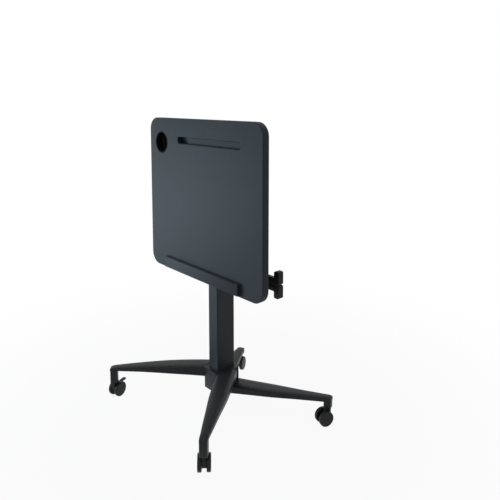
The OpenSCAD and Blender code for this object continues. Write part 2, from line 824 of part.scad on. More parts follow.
// One ring of a leg's surface: flat underside, upright sides and a crowned top
function leg_ring(x, half, ridge, under, crown) = [
    [x, -half + 1.5, under],
    [x, half - 1.5, under],
    [x, half, under + 2],
    for (a = [0 : 18 : 180])
        [x, half * signed_power(cos(a), 0.62), ridge - crown + crown * signed_power(sin(a), 0.7)],
    [x, -half, under + 2]
];

module leg_loft(length, ridge, under) {
    n = len(along_shares);
    end = length + drop_half;
    rings = [
        for (i = [0 : n - 1])
            let (
                t = along_shares[i],
                half = leg_end_half + (leg_root_half - leg_end_half) * width_shares[i],
                tip = i == n - 1 ? drop_corner_r : (i == n - 2 ? drop_corner_r / 5 : 0)
            )
            leg_ring(t * end, half, smooth(ridge[0], ridge[1], ridge[2], t) - tip,
                smooth(under[0], under[1], under[2], t), leg_crown * crown_shares[i])
    ];
    m = len(rings[0]);
    polyhedron(
        points = [for (ring = rings) for (p = ring) p],
        faces = concat(
            [[for (j = [0 : m - 1]) j]],
            [[for (j = [m - 1 : -1 : 0]) (n - 1) * m + j]],
            [for (i = [0 : n - 2], j = [0 : m - 1]) [i * m + j, (i + 1) * m + j, i * m + (j + 1) % m]],
            [
                for (i = [0 : n - 2], j = [0 : m - 1])
                    [i * m + (j + 1) % m, (i + 1) * m + j, (i + 1) * m + (j + 1) % m]
            ]
        )
    );
}

module leg(from, to, ridge, under) {
    length = norm(to - from);
    color(black) place() difference() {
        leg_frame(from, to) union() {
            leg_loft(length, ridge, under);
            translate([length, 0, drop_z]) linear_extrude(ridge[2] - leg_crown - drop_z) round_rect(
                2 * drop_half - 2 * drop_side, 2 * leg_end_half - 2 * drop_side, drop_corner_r);
        }
        linear_extrude(shaft_z) hub_outline();
        bolt_holes(bolt_r + hole_gap);
        translate([to[0], to[1], drop_z - over])
            cylinder(h = socket_top(ridge) + fit_gap - drop_z + over, r = socket_r + fit_gap);
        translate([to[0], to[1], drop_z - socket_flange_t - over])
            cylinder(h = socket_flange_t + over, r = socket_flange_r + fit_gap);
    }
}

module leg_front_left() {
    leg(across(front_start), across(front_stem), front_ridge, front_under);
}

module leg_front_right() {
    leg(front_start, front_stem, front_ridge, front_under);
}

module leg_rear_right() {
    leg(rear_right_start, rear_right_stem, rear_right_ridge, rear_right_under);
}

module leg_rear_left() {
    leg(rear_left_start, rear_left_stem, rear_left_ridge, rear_left_under);
}

// For each caster: the stem's place, its swivel's heading and the top of its stem's socket
stem_places = [
    [-front_x, -front_y, heading_fl, socket_top(front_ridge)],
    [front_x, -front_y, heading_fr, socket_top(front_ridge)],
    [rear_right_x, rear_right_y, heading_rr, socket_top(rear_right_ridge)],
    [-rear_left_x, rear_left_y, heading_rl, socket_top(rear_left_ridge)]
];

module stem_sockets() {
    color(plastic) place() for (s = stem_places) translate([s[0], s[1], 0]) difference() {
        union() {
            translate([0, 0, drop_z]) cylinder(h = s[3] - drop_z, r = socket_r);
            translate([0, 0, drop_z - socket_flange_t]) cylinder(h = socket_flange_t, r = socket_flange_r);
        }
        translate([0, 0, drop_z - socket_flange_t - over])
            cylinder(h = s[3] + socket_flange_t, r = stem_r + run_gap);
    }
}

// Casters

module at_caster(i) {
    place() translate([stem_places[i][0], stem_places[i][1], 0]) rotate([0, 0, stem_places[i][2]]) children();
}

caster_top_z = drop_z - socket_flange_t - caster_top_gap;

module caster_body(i, braked) {
    color(plastic) at_caster(i) difference() {
        union() {
            translate([trail, 0, wheel_r]) along_y(-caster_body_half, caster_body_half, caster_body_r);
            translate([-caster_boss_r + 2, -caster_body_half, wheel_r])
                cube([trail + caster_boss_r - 2, 2 * caster_body_half, caster_top_z - caster_boss_h - wheel_r]);
            translate([0, 0, caster_top_z - caster_boss_h]) cylinder(h = caster_boss_h, r = caster_boss_r);
            if (braked) translate([trail, -caster_body_half, wheel_r])
                cube([pedal_pivot_x - trail + pedal_pivot_r + 2, 2 * caster_body_half,
                    pedal_pivot_z - wheel_r + pedal_pivot_r + 2]);
        }
        translate([trail, 0, wheel_r]) along_y(-wheel_r, wheel_r, axle_r + run_gap);
        translate([0, 0, caster_top_z - stem_in_body]) cylinder(h = stem_in_body + over, r = stem_r + run_gap);
        if (braked) {
            translate([pedal_pivot_x, 0, pedal_pivot_z]) along_y(-wheel_r, wheel_r, pedal_pivot_r + run_gap);
            fork = pedal_boss_r + fork_gap;
            translate([pedal_pivot_x - fork, -pedal_w / 4 - fork_gap, pedal_pivot_z - fork])
                cube([wheel_r, pedal_w / 2 + 2 * fork_gap, wheel_r]);
        }
    }
}

module caster_pins(i) {
    reach = wheel_gap_half + wheel_w - wheel_dish - cap_t - slide_gap;
    color(steel) at_caster(i) {
        translate([trail, 0, wheel_r]) along_y(-reach, reach, axle_r);
        translate([0, 0, caster_top_z - stem_in_body])
            cylinder(h = stem_places[i][3] - 2 * over - caster_top_z + stem_in_body, r = stem_r);
    }
}

// Outline of a wheel from its inner face outwards, with a shallow dish in the outer face
module wheel_outline() {
    bore = axle_r + run_gap;
    rim = wheel_r - 2 * wheel_edge_r;
    translate([bore, 0]) square([rim - bore, wheel_w - wheel_dish]);
    translate([rim, 0]) square([wheel_edge_r, wheel_w]);
    translate([wheel_r - wheel_edge_r, wheel_edge_r]) square([wheel_edge_r, wheel_w - 2 * wheel_edge_r]);
    for (z = [wheel_edge_r, wheel_w - wheel_edge_r]) intersection() {
        translate([wheel_r - wheel_edge_r, z]) circle(r = wheel_edge_r);
        translate([wheel_r - wheel_edge_r, z < wheel_w / 2 ? 0 : wheel_w - wheel_edge_r])
            square([wheel_edge_r, wheel_edge_r]);
    }
}

module wheel(i, side) {
    color(plastic) at_caster(i) translate([trail, side * wheel_gap_half, wheel_r]) rotate([-side * 90, 0, 0]) {
        rotate_extrude() wheel_outline();
        translate([0, 0, wheel_w - wheel_dish - cap_t]) cylinder(h = cap_t, r = cap_r);
    }
}

module brake_pedal(i) {
    color(plastic) at_caster(i) translate([pedal_pivot_x, 0, pedal_pivot_z]) {
        along_y(-pedal_w / 4, pedal_w / 4, pedal_boss_r);
        along_y(-caster_body_half, caster_body_half, pedal_pivot_r);
        translate([0, -pedal_w / 4, pedal_boss_r - pedal_t]) cube([pedal_leaf_x + over, pedal_w / 2, pedal_t]);
        translate([(pedal_l + pedal_leaf_x) / 2, 0, pedal_boss_r - pedal_t]) linear_extrude(pedal_t)
            round_rect(pedal_l - pedal_leaf_x, pedal_w, pedal_leaf_r);
    }
}

// Paddles

// One paddle, for the side of the gap towards the far edge
module paddle() {
    y0 = pad_gap / 2;
    difference() {
        union() {
            translate([pad_x1 - pad_l / 2, y0 + pad_w / 2, pad_top_z - pad_t]) linear_extrude(pad_t)
                round_rect(pad_l, pad_w, pad_r);
            translate([pivot_x, y0, pad_top_z - neck_t])
                cube([pad_x1 - pad_l / 2 - pivot_x, neck_w_y, neck_t]);
            translate([pivot_x, 0, pivot_z]) along_y(y0, y0 + neck_w_y, lever_hub_r);
        }
        translate([pivot_x, 0, pivot_z]) along_y(-over, y0 + neck_w_y + over, pivot_r + run_gap);
    }
}

module height_paddle() {
    color(plastic) on_top() translate([0, pads_y, 0]) paddle();
}

module tilt_paddle() {
    color(plastic) on_top() translate([0, pads_y, 0]) mirror([0, 1, 0]) paddle();
}

cheek_y = pad_gap / 2 + neck_w_y + spring_sleeve_l + 2 * cheek_gap;

module paddle_bracket() {
    color(black) on_top() translate([0, pads_y, 0]) difference() {
        union() {
            translate([paddle_base_x0, -cheek_y - cheek_t, under_z - plate_t])
                cube([paddle_base_x1 - paddle_base_x0, 2 * (cheek_y + cheek_t), plate_t]);
            for (side = [0, 1]) mirror([0, side, 0]) {
                translate([pivot_x - cheek_half_x, cheek_y, pivot_z])
                    cube([2 * cheek_half_x, cheek_t, under_z - plate_t - pivot_z]);
                translate([pivot_x, 0, pivot_z]) along_y(cheek_y, cheek_y + cheek_t, cheek_half_x);
            }
            translate([paddle_base_x0, cheek_y, lock_r - anchor_margin])
                cube([pivot_x - paddle_base_x0, cheek_t, under_z - plate_t - lock_r + anchor_margin]);
        }
        translate([pivot_x, 0, pivot_z])
            along_y(-cheek_y - cheek_t - over, cheek_y + cheek_t + over, pivot_r + run_gap);
        for (p = paddle_screws) translate([p[0], p[1] - pads_y, under_z - plate_t]) screw_hole(plate_t);
    }
}

module paddle_pin() {
    color(steel) on_top() translate([pivot_x, pads_y, pivot_z])
        along_y(-cheek_y - cheek_t - over, cheek_y + cheek_t + over, pivot_r);
}

module paddle_springs() {
    color(steel) on_top() translate([pivot_x, pads_y, pivot_z])
        for (side = [0, 1]) mirror([0, side, 0]) difference() {
            along_y(cheek_y - cheek_gap - spring_sleeve_l + fit_gap, cheek_y - fit_gap, spring_sleeve_r);
            along_y(0, cheek_y + over, pivot_r + fit_gap);
        }
}

// Cables along the underside

module height_cable() {
    x0 = shaft_half + fit_gap;
    color(plastic) on_top() {
        along_x(x0, cable_run_x - cable_bend, cable_r);
        translate([cable_run_x - cable_bend, 0, 0]) rotate([90, 0, 0]) bend(cable_r, cable_bend);
        translate([cable_run_x, 0, cable_bend]) cylinder(h = cable_top_z - 2 * cable_bend, r = cable_r);
        translate([cable_run_x, 0, cable_top_z - cable_bend]) rotate([0, -90, 180]) bend(cable_r, cable_bend);
        translate([cable_run_x, 0, cable_top_z]) along_y(pads_y + cheek_y + cheek_t, -cable_bend, cable_r);
    }
}

module tilt_cable() {
    x0 = bracket_x + bracket_t + housing_l;
    x1 = cable_run_x - cable_step;
    color(plastic) on_top() translate([0, 0, lock_r]) {
        along_x(x0, x1 - cable_bend, cable_r);
        translate([x1 - cable_bend, 0, 0]) mirror([0, 1, 0]) bend(cable_r, cable_bend);
        translate([x1, 0, 0]) along_y(pads_y + cheek_y + cheek_t, -cable_bend, cable_r);
    }
}

module cable_clips() {
    color(plastic) on_top() for (y = [pads_y / 3, pads_y * 2 / 3]) translate([0, y, 0]) difference() {
        union() {
            translate([cable_run_x - cable_r - clip_wall, -clip_w / 2, cable_top_z - cable_r - clip_wall])
                cube([2 * (cable_r + clip_wall), clip_w, under_z - cable_top_z + cable_r + clip_wall]);
            translate([
                cable_run_x - cable_step - cable_r - clip_wall, -clip_w / 2, lock_r - cable_r - clip_wall])
                cube([2 * (cable_r + clip_wall), clip_w, under_z - lock_r + cable_r + clip_wall]);
        }
        translate([cable_run_x, 0, cable_top_z]) along_y(-clip_w, clip_w, cable_r + fit_gap);
        translate([cable_run_x - cable_step, 0, lock_r]) along_y(-clip_w, clip_w, cable_r + fit_gap);
    }
}

module top_screws() {
    color(steel) on_top() {
        for (p = plate_screws) translate([p[0], p[1], under_z - plate_t]) screw(screw_l - hole_gap);
        for (p = bracket_screws) translate([p[0], p[1], under_z - 2 * plate_t]) screw(screw_l - hole_gap);
        for (p = paddle_screws) translate([p[0], p[1], under_z - plate_t]) screw(screw_l - hole_gap);
        for (p = stop_screws) translate([p[0], p[1], under_z + screw_head_h])
            screw(top_t - screw_head_h + stop_h / 2 - hole_gap);
    }
}

hub();
hub_cover();
leg_front_left();
leg_front_right();
leg_rear_right();
leg_rear_left();
hub_bolts();
stem_sockets();
outer_column();
column_guide();
gas_cylinder();
inner_column();
lower_glide();
column_head();
gas_rod();
tilt_shaft();
shaft_collars();
lock_disc();
valve_cable();
valve_lever();
valve_pin();
tabletop();
cup_holder();
edge_stop();
mounting_plate();
tilt_bracket_left();
tilt_bracket_right();
bracket_bushes();
plunger_housing();
lock_plunger();
stop_pin();
paddle_bracket();
paddle_pin();
paddle_springs();
height_paddle();
tilt_paddle();
height_cable();
tilt_cable();
cable_clips();
top_screws();
caster_body(0, true);  // caster_body_fl
caster_pins(0);  // caster_pins_fl
wheel(0, 1);  // wheel_fl_left
wheel(0, -1);  // wheel_fl_right
brake_pedal(0);  // brake_pedal_fl
caster_body(1, true);  // caster_body_fr
caster_pins(1);  // caster_pins_fr
wheel(1, 1);  // wheel_fr_left
wheel(1, -1);  // wheel_fr_right
brake_pedal(1);  // brake_pedal_fr
caster_body(2, false);  // caster_body_rr
caster_pins(2);  // caster_pins_rr
wheel(2, 1);  // wheel_rr_left
wheel(2, -1);  // wheel_rr_right
caster_body(3, false);  // caster_body_rl
caster_pins(3);  // caster_pins_rl
wheel(3, 1);  // wheel_rl_left
wheel(3, -1);  // wheel_rl_right
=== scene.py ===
"""Dresses a flip top training table and sets it in a plain studio."""

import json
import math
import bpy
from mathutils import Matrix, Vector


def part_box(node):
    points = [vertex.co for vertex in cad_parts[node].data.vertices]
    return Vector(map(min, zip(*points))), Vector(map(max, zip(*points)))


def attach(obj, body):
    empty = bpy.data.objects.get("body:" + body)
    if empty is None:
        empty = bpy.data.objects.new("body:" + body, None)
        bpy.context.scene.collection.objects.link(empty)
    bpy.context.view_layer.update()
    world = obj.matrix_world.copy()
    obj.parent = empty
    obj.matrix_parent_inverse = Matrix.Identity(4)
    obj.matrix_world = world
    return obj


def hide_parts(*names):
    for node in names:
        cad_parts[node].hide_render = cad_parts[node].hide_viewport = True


bl_info = {
    "name": "Flip Top Training Table",
    "version": (1, 0, 0),
    "blender": (4, 5, 0),
    "location": "3D View > Sidebar > Table",
    "description": "Finishes, detailed pieces and studio of a flip top training table",
    "category": "Object",
}

import bmesh
import bpy
from bpy.props import FloatProperty, FloatVectorProperty, PointerProperty
from mathutils import Matrix, Vector

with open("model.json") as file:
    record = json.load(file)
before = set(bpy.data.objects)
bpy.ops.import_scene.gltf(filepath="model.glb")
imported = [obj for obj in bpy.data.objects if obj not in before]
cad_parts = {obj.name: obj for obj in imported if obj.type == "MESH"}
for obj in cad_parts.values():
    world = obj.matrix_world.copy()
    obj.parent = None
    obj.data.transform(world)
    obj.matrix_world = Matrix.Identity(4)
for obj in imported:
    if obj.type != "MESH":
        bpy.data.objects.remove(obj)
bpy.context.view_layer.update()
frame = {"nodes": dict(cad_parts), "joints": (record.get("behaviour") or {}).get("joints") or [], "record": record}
NODES = frame["nodes"]
CORNERS = ("fl", "fr", "rr", "rl")


def node_centre(node):
    low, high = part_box(node)
    return (low + high) / 2


def joint_place(name):
    joint = next(j for j in frame["joints"] if j["name"] == name)
    return Vector(joint["pos_m"])


COLUMN = node_centre("outer_column")
STEMS = {c: joint_place("swivel_" + c) for c in CORNERS}
SHAFT = joint_place("top_tilt")


# Settings


def length_prop(name, text, default):
    return FloatProperty(name=name, description=text, default=default, min=0.0, unit="LENGTH", precision=4)


def angle_prop(name, text, degrees):
    return FloatProperty(name=name, description=text, default=math.radians(degrees), subtype="ANGLE")


def power_prop(name, text, default):
    return FloatProperty(name=name, description=text, default=default, min=0.0, unit="POWER")


def colour_prop(name, text, default):
    return FloatVectorProperty(
        name=name, description=text, default=default, size=3, min=0, max=1, subtype="COLOR")


class FTT_PG_colours(bpy.types.PropertyGroup):
    """Colours of the finishes"""

    # Near-black laminate. Its blue tint is partly painted light: the cool cast of the key softbox on the face
    board: colour_prop("Board", "Laminate of the top", (0.050, 0.059, 0.0655))
    coat: colour_prop("Powder coat", "Legs, hub and column head", (0.033, 0.036, 0.038))
    # A lighter, bluer copy of the powder coat. It paints the stronger front-left light that falls on the column
    tube: colour_prop("Tube coat", "Column tubes, brackets and mounting plate", (0.037, 0.044, 0.050))
    plastic: colour_prop("Plastic", "Sleeves and paddles", (0.017, 0.0175, 0.018))
    # Near black, darker than the other plastic. It paints the shade deep inside the cup recess
    painted_shade_liner: colour_prop("Cup liner", "Cup holder", (0.005, 0.005, 0.0055))
    nylon: colour_prop("Nylon", "Caster wheels", (0.027, 0.027, 0.0275))
    sheath: colour_prop("Cable sheath", "Release cables", (0.01, 0.01, 0.01))
    steel: colour_prop("Steel", "Shafts, screws and pins", (0.46, 0.47, 0.48))
    dark_steel: colour_prop("Blackened steel", "Lock disc and plunger housing", (0.06, 0.06, 0.065))
    floor: colour_prop("Floor", "Studio floor", (0.86, 0.86, 0.86))


class FTT_PG_legs(bpy.types.PropertyGroup):
    """Shape of the legs"""

    root_half: length_prop("Half width at the hub", "Half of a leg's width where it leaves the hub", 0.031)
    end_half: length_prop("Half width at the end", "Half of a leg's width above its caster", 0.013)
    crown: length_prop("Crown", "Height of the rounded top above the sides", 0.009)
    overhang: length_prop("Overhang", "Length of a leg past its caster stem", 0.013)
    tip_drop: length_prop("Tip rounding", "How far the tip's edge turns down", 0.005)
    drop_foot: length_prop("Drop foot", "Height of the drop's underside above the floor", 0.0556)


class FTT_PG_studio(bpy.types.PropertyGroup):
    """Camera and lights"""

    lens: FloatProperty(
        name="Lens", description="Focal length on a 36 mm sensor", default=37.638, unit="CAMERA")
    heading: angle_prop("Heading", "Turn of the camera", 47.898)
    pitch: angle_prop("Pitch", "How far the camera looks down", 6.0)
    rise: FloatProperty(name="Vertical shift", description="Shift of the camera's frame", default=-0.1906)
    distance_right: length_prop("Camera to the right", "From the column to the camera", 1.36662)
    distance_front: length_prop("Camera in front", "From the column to the camera", 1.10087)
    eye_height: length_prop("Camera height", "Height of the camera above the floor", 1.04934)
    key_power: power_prop("Key light", "Power of the front left softbox", 26.0)
    high_power: power_prop("High light", "Power of the high left softbox", 6.0)
    fill_power: power_prop("Fill light", "Power of the right softbox", 3.2)
    top_power: power_prop("Top light", "Power of the overhead softbox", 5.0)
    world_light: FloatProperty(
        name="Room light", description="Strength of the light from all around", default=0.19, min=0.0)


# Materials


NOISE_LOW = 0.3
NOISE_HIGH = 0.7


def add_node(tree, kind, inputs=None, **settings):
    """A new node. Its inputs are given by name or index, each as a value or as a socket to link."""
    node = tree.nodes.new(kind)
    for key, value in settings.items():
        setattr(node, key, value)
    for key, value in (inputs or {}).items():
        if isinstance(value, bpy.types.NodeSocket):
            tree.links.new(value, node.inputs[key])
        else:
            node.inputs[key].default_value = value
    return node


class Material:
    """A material with helpers that add its pattern nodes."""

    def __init__(self, name, **sockets):
        self.data = bpy.data.materials.new(name)
        self.data.use_nodes = True
        self.tree = self.data.node_tree
        self.shader = self.tree.nodes["Principled BSDF"]
        for socket, value in sockets.items():
            self.shader.inputs[socket.replace("_", " ")].default_value = value
        self.coords = self.add("ShaderNodeTexCoord").outputs["Object"]

    def add(self, kind, inputs=None, **settings):
        return add_node(self.tree, kind, inputs, **settings)

    def noise(self, scale, detail, stretch=None):
        vector = self.coords
        if stretch:
            vector = self.add("ShaderNodeMapping", {"Vector": vector, "Scale": stretch}).outputs["Vector"]
        node = self.add("ShaderNodeTexNoise", {"Vector": vector, "Scale": scale, "Detail": detail})
        return node.outputs["Fac"]

    def pebbles(self, scale):
        return self.add("ShaderNodeTexVoronoi", {"Vector": self.coords, "Scale": scale}).outputs["Distance"]

    def spread(self, pattern, low, high):
        """Maps the middle part of a noise pattern to low..high."""
        node = self.add("ShaderNodeMapRange", {
            "Value": pattern, "From Min": NOISE_LOW, "From Max": NOISE_HIGH, "To Min": low, "To Max": high})
        return node.outputs["Result"]

    def tint(self, pattern, colour, dark, light):
        """Varies a colour between two shares of itself."""
        node = self.add("ShaderNodeMix", {
            "Factor": self.spread(pattern, 0.0, 1.0),
            "A": (*scaled(colour, dark), 1),
            "B": (*scaled(colour, light), 1),
        }, data_type="RGBA")
        self.tree.links.new(node.outputs["Result"], self.shader.inputs["Base Color"])

    def rough(self, pattern, low, high):
        self.tree.links.new(self.spread(pattern, low, high), self.shader.inputs["Roughness"])

    def bump(self, pattern, strength, depth):
        node = self.add("ShaderNodeBump", {"Height": pattern, "Strength": strength, "Distance": depth})
        self.tree.links.new(node.outputs["Normal"], self.shader.inputs["Normal"])


def scaled(colour, share):
    return tuple(min(1.0, c * share) for c in colour)


# The blue in the board's colour is partly a painted cool cast of the front-left light
def board_material(colours):
    m = Material("board_laminate", Specular_IOR_Level=0.09)
    m.tint(m.noise(scale=9.0, detail=4.0), colours.board, dark=0.96, light=1.05)
    m.rough(m.noise(scale=150.0, detail=4.0), low=0.46, high=0.5)
    m.bump(m.pebbles(scale=900.0), strength=0.08, depth=0.0003)
    return m.data


def painted(name, colour):
    """Powder coat of the given colour."""
    m = Material(name, Specular_IOR_Level=0.16)
    m.tint(m.noise(scale=25.0, detail=4.0), colour, dark=0.93, light=1.08)
    m.rough(m.noise(scale=140.0, detail=4.0), low=0.33, high=0.45)
    m.bump(m.noise(scale=1100.0, detail=2.0), strength=0.16, depth=0.0003)
    return m.data


def coat_material(colours):
    return painted("powder_coat", colours.coat)


# The powder coat again, made lighter and bluer to paint the key light that falls on the column, brackets and plate
def lit_tube_coat_material(colours):
    return painted("tube_coat", colours.tube)


def plastic_material(colours):
    m = Material("moulded_plastic", Specular_IOR_Level=0.15)
    m.tint(m.noise(scale=40.0, detail=3.0), colours.plastic, dark=0.8, light=1.25)
    m.rough(m.noise(scale=200.0, detail=4.0), low=0.42, high=0.56)
    m.bump(m.pebbles(scale=1500.0), strength=0.18, depth=0.0002)
    return m.data


# The cup's near-black colour is painted shade of the deep recess, not a darker plastic
def painted_shade_liner_material(colours):
    m = Material("liner_plastic", Specular_IOR_Level=0.12)
    m.tint(m.noise(scale=60.0, detail=3.0), colours.painted_shade_liner, dark=0.85, light=1.2)
    m.rough(m.noise(scale=180.0, detail=4.0), low=0.5, high=0.62)
    m.bump(m.pebbles(scale=1300.0), strength=0.15, depth=0.0002)
    return m.data


def nylon_material(colours):
    m = Material("wheel_nylon", Specular_IOR_Level=0.15)
    m.tint(m.noise(scale=120.0, detail=4.0), colours.nylon, dark=1.0, light=1.7)
    m.rough(m.noise(scale=350.0, detail=5.0), low=0.3, high=0.44)
    m.bump(m.noise(scale=900.0, detail=3.0), strength=0.1, depth=0.0002)
    return m.data


def sheath_material(colours):
    m = Material("cable_sheath", Specular_IOR_Level=0.45)
    m.tint(m.noise(scale=90.0, detail=3.0), colours.sheath, dark=0.8, light=1.4)
    m.rough(m.noise(scale=250.0, detail=3.0), low=0.45, high=0.6)
    m.bump(m.noise(scale=1500.0, detail=2.0), strength=0.1, depth=0.0001)
    return m.data


def metal(name, colour):
    """Turned steel of the given colour."""
    m = Material(name, Metallic=1.0)
    grain = m.noise(scale=260.0, detail=4.0, stretch=(0.12, 1.0, 1.0))
    m.tint(grain, colour, dark=0.82, light=1.08)
    m.rough(m.noise(scale=500.0, detail=5.0, stretch=(0.1, 1.0, 1.0)), low=0.24, high=0.42)
    m.bump(grain, strength=0.06, depth=0.0001)
    return m.data


def steel_material(colours):
    return metal("turned_steel", colours.steel)


def dark_steel_material(colours):
    return metal("blackened_steel", colours.dark_steel)


MAKERS = {
    "board": board_material,
    "stop": board_material,
    "coat": coat_material,
    "tube_coat": lit_tube_coat_material,
    "plastic": plastic_material,
    "painted_shade_liner": painted_shade_liner_material,
    "nylon": nylon_material,
    "sheath": sheath_material,
    "steel": steel_material,
    "dark_steel": dark_steel_material,
}
FINISHES = {}


def finish(look):
    """The look's material. Each one is made once, from the scene's colours."""
    maker = MAKERS[look]
    if maker not in FINISHES:
        FINISHES[maker] = maker(bpy.context.scene.table_colours)
    return FINISHES[maker]


# Pieces


BODIES = frame["record"]["behaviour"]["bodies"]
BODY_OF = {node: body for body, members in BODIES.items() for node in members}
PIECE_SHARP = 40.0
EASED_SHARP = 35.0


def set_look(piece, look):
    piece.data.materials.clear()
    piece.data.materials.append(finish(look))


def settle(piece, body, look, *replaced):
    """Gives a finished piece its look, its body and the frame nodes that it stands for."""
    set_look(piece, look)
    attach(piece, body)
    if replaced:
        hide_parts(*replaced)
    return piece


def coat_node(node, look):
    """Gives a frame node its look and leaves its shape."""
    set_look(NODES[node], look)


def smooth(mesh, sharp):
    """Shades a mesh smooth, except over edges past the given angle in degrees."""
    mesh.shade_smooth()
    mesh.set_sharp_from_angle(angle=math.radians(sharp))


def new_piece(name, bm, sharp=PIECE_SHARP):
    """An object from a bmesh, which is freed."""
    mesh = bpy.data.meshes.new(name)
    bm.to_mesh(mesh)
    bm.free()
    smooth(mesh, sharp)
    piece = bpy.data.objects.new(name, mesh)
    bpy.context.scene.collection.objects.link(piece)
    return piece


def evaluated_mesh(piece):
    """A plain mesh of an object with its modifiers applied."""
    depsgraph = bpy.context.evaluated_depsgraph_get()
    return bpy.data.meshes.new_from_object(piece.evaluated_get(depsgraph))


def bake_modifiers(piece):
    """Replaces a piece's mesh with its evaluated one."""
    mesh = evaluated_mesh(piece)
    mesh.name = piece.name
    piece.modifiers.clear()
    piece.data = mesh


def bmesh_of(*meshes):
    """One bmesh that holds the given meshes."""
    bm = bmesh.new()
    for mesh in meshes:
        bm.from_mesh(mesh)
    return bm


def merged_copy(node):
    """A bmesh of a frame node with its doubles merged and its flat faces made whole."""
    bm = bmesh_of(NODES[node].data)
    bmesh.ops.remove_doubles(bm, verts=bm.verts, dist=1e-6)
    bmesh.ops.dissolve_limit(
        bm, angle_limit=math.radians(0.5), verts=bm.verts, edges=bm.edges, use_dissolve_boundaries=False)
    return bm


def eased_node(node, look, width, angle=32.0, segments=3):
    """A copy of a frame node with its sharp edges rounded, in place of it."""
    piece = new_piece(node + "_eased", merged_copy(node))
    bevel = piece.modifiers.new("edges", "BEVEL")
    bevel.width = width
    bevel.segments = segments
    bevel.limit_method = "ANGLE"
    bevel.angle_limit = math.radians(angle)
    bevel.harden_normals = False
    bake_modifiers(piece)
    smooth(piece.data, EASED_SHARP)
    return settle(piece, BODY_OF[node], look, node)


def bridge(bm, low, high):
    """Joins two rings of vertices with faces."""
    for i in range(len(low)):
        j = (i + 1) % len(low)
        bm.faces.new((low[i], low[j], high[j], high[i]))


def circle_angles(steps):
    return [2 * math.pi * i / steps for i in range(steps)]


def arc(cx, cy, r, start, end, steps=6):
    """Points of an arc in an outline, from start to end in degrees."""
    angles = [math.radians(start + (end - start) * i / steps) for i in range(steps + 1)]
    return [(cx + r * math.cos(a), cy + r * math.sin(a)) for a in angles]


def lathe(profile, steps):
    """A closed bmesh of revolution about +Z from a closed outline of (radius, height) points."""
    bm = bmesh.new()
    rings = []
    for a in circle_angles(steps):
        rings.append([bm.verts.new((r * math.cos(a), r * math.sin(a), z)) for r, z in profile])
    for here, there in zip(rings, rings[1:] + rings[:1]):
        bridge(bm, here, there)
    bmesh.ops.remove_doubles(bm, verts=bm.verts, dist=1e-7)
    bmesh.ops.recalc_face_normals(bm, faces=bm.faces)
    return bm


class Tree:
    """A geometry node tree with named inputs, built node by node."""

    def __init__(self, name):
        self.group = bpy.data.node_groups.new(name, "GeometryNodeTree")
        self.group.interface.new_socket("Geometry", in_out="INPUT", socket_type="NodeSocketGeometry")
        self.group.interface.new_socket("Geometry", in_out="OUTPUT", socket_type="NodeSocketGeometry")
        self.entry = self.add("NodeGroupInput")
        self.exit = self.add("NodeGroupOutput")

    def add(self, kind, inputs=None, **settings):
        return add_node(self.group, kind, inputs, **settings)

    def input(self, name, kind="NodeSocketFloat"):
        self.group.interface.new_socket(name, in_out="INPUT", socket_type=kind)
        return self.entry.outputs[name]

    def inputs(self, *names):
        return [self.input(name) for name in names]

    def math(self, operation, *values):
        return self.add("ShaderNodeMath", dict(enumerate(values)), operation=operation).outputs[0]

    def plus(self, a, b):
        return self.math("ADD", a, b)

    def minus(self, a, b):
        return self.math("SUBTRACT", a, b)

    def times(self, a, b):
        return self.math("MULTIPLY", a, b)

    def power(self, a, b):
        return self.math("POWER", a, b)

    def curve(self, value, points):
        """A float curve through (position, height) points."""
        node = self.add("ShaderNodeFloatCurve", {"Value": value})
        line = node.mapping.curves[0]
        while len(line.points) > 2:
            line.points.remove(line.points[1])
        line.points[0].location = points[0]
        line.points[1].location = points[-1]
        for p in points[1:-1]:
            line.points.new(*p)
        node.mapping.update()
        return node.outputs["Value"]

    def close(self, geometry, material):
        """Ends the tree with its instances made real and one material set."""
        real = self.add("GeometryNodeRealizeInstances", {"Geometry": geometry}).outputs["Geometry"]
        finished = self.add("GeometryNodeSetMaterial", {"Geometry": real, "Material": material})
        self.group.links.new(finished.outputs["Geometry"], self.exit.inputs["Geometry"])

    def grow(self, name, base, values):
        """The mesh that the tree makes from a base mesh and a dict of input values."""
        host = bpy.data.objects.new(name, base)
        bpy.context.scene.collection.objects.link(host)
        mod = host.modifiers.new("nodes", "NODES")
        mod.node_group = self.group
        for item in self.group.interface.items_tree:
            if item.item_type == "SOCKET" and item.in_out == "INPUT" and item.name in values:
                mod[item.identifier] = values[item.name]
        result = evaluated_mesh(host)
        result.name = name
        bpy.data.objects.remove(host)
        return result


# Legs


# Shares of a leg's sizes along its length, as (position, share) points
WIDTH_SHARES = (
    (0.0, 1.0), (0.15, 0.99), (0.3, 0.96), (0.42, 0.9), (0.52, 0.77), (0.62, 0.585), (0.71, 0.425),
    (0.8, 0.28), (0.88, 0.14), (0.94, 0.03), (0.975, 0.0), (1.0, -0.12))
# The width shares go below 0, so the curve holds them squeezed by their span
WIDTH_SPAN = 1.12
CROWN_SHARES = (
    (0.0, 1.0), (0.3, 1.0), (0.42, 0.98), (0.52, 0.94), (0.62, 0.88), (0.71, 0.82), (0.8, 0.75),
    (0.88, 0.68), (0.94, 0.6), (0.975, 0.52), (1.0, 0.4))
TIP_SHARES = ((0.0, 0.0), (0.95, 0.0), (0.975, 0.2), (1.0, 1.0))

LEG_ROWS = 72
LEG_COLUMNS = 65
LEG_MERGE = 0.00001
TIP_CROWDING = 1.7
# Powers that round a leg's section, above and below its shoulder
SIDE_POWERS = (0.62, 0.2)
RISE_POWERS = (0.7, 0.2)
LEG_SHARP = 38.0

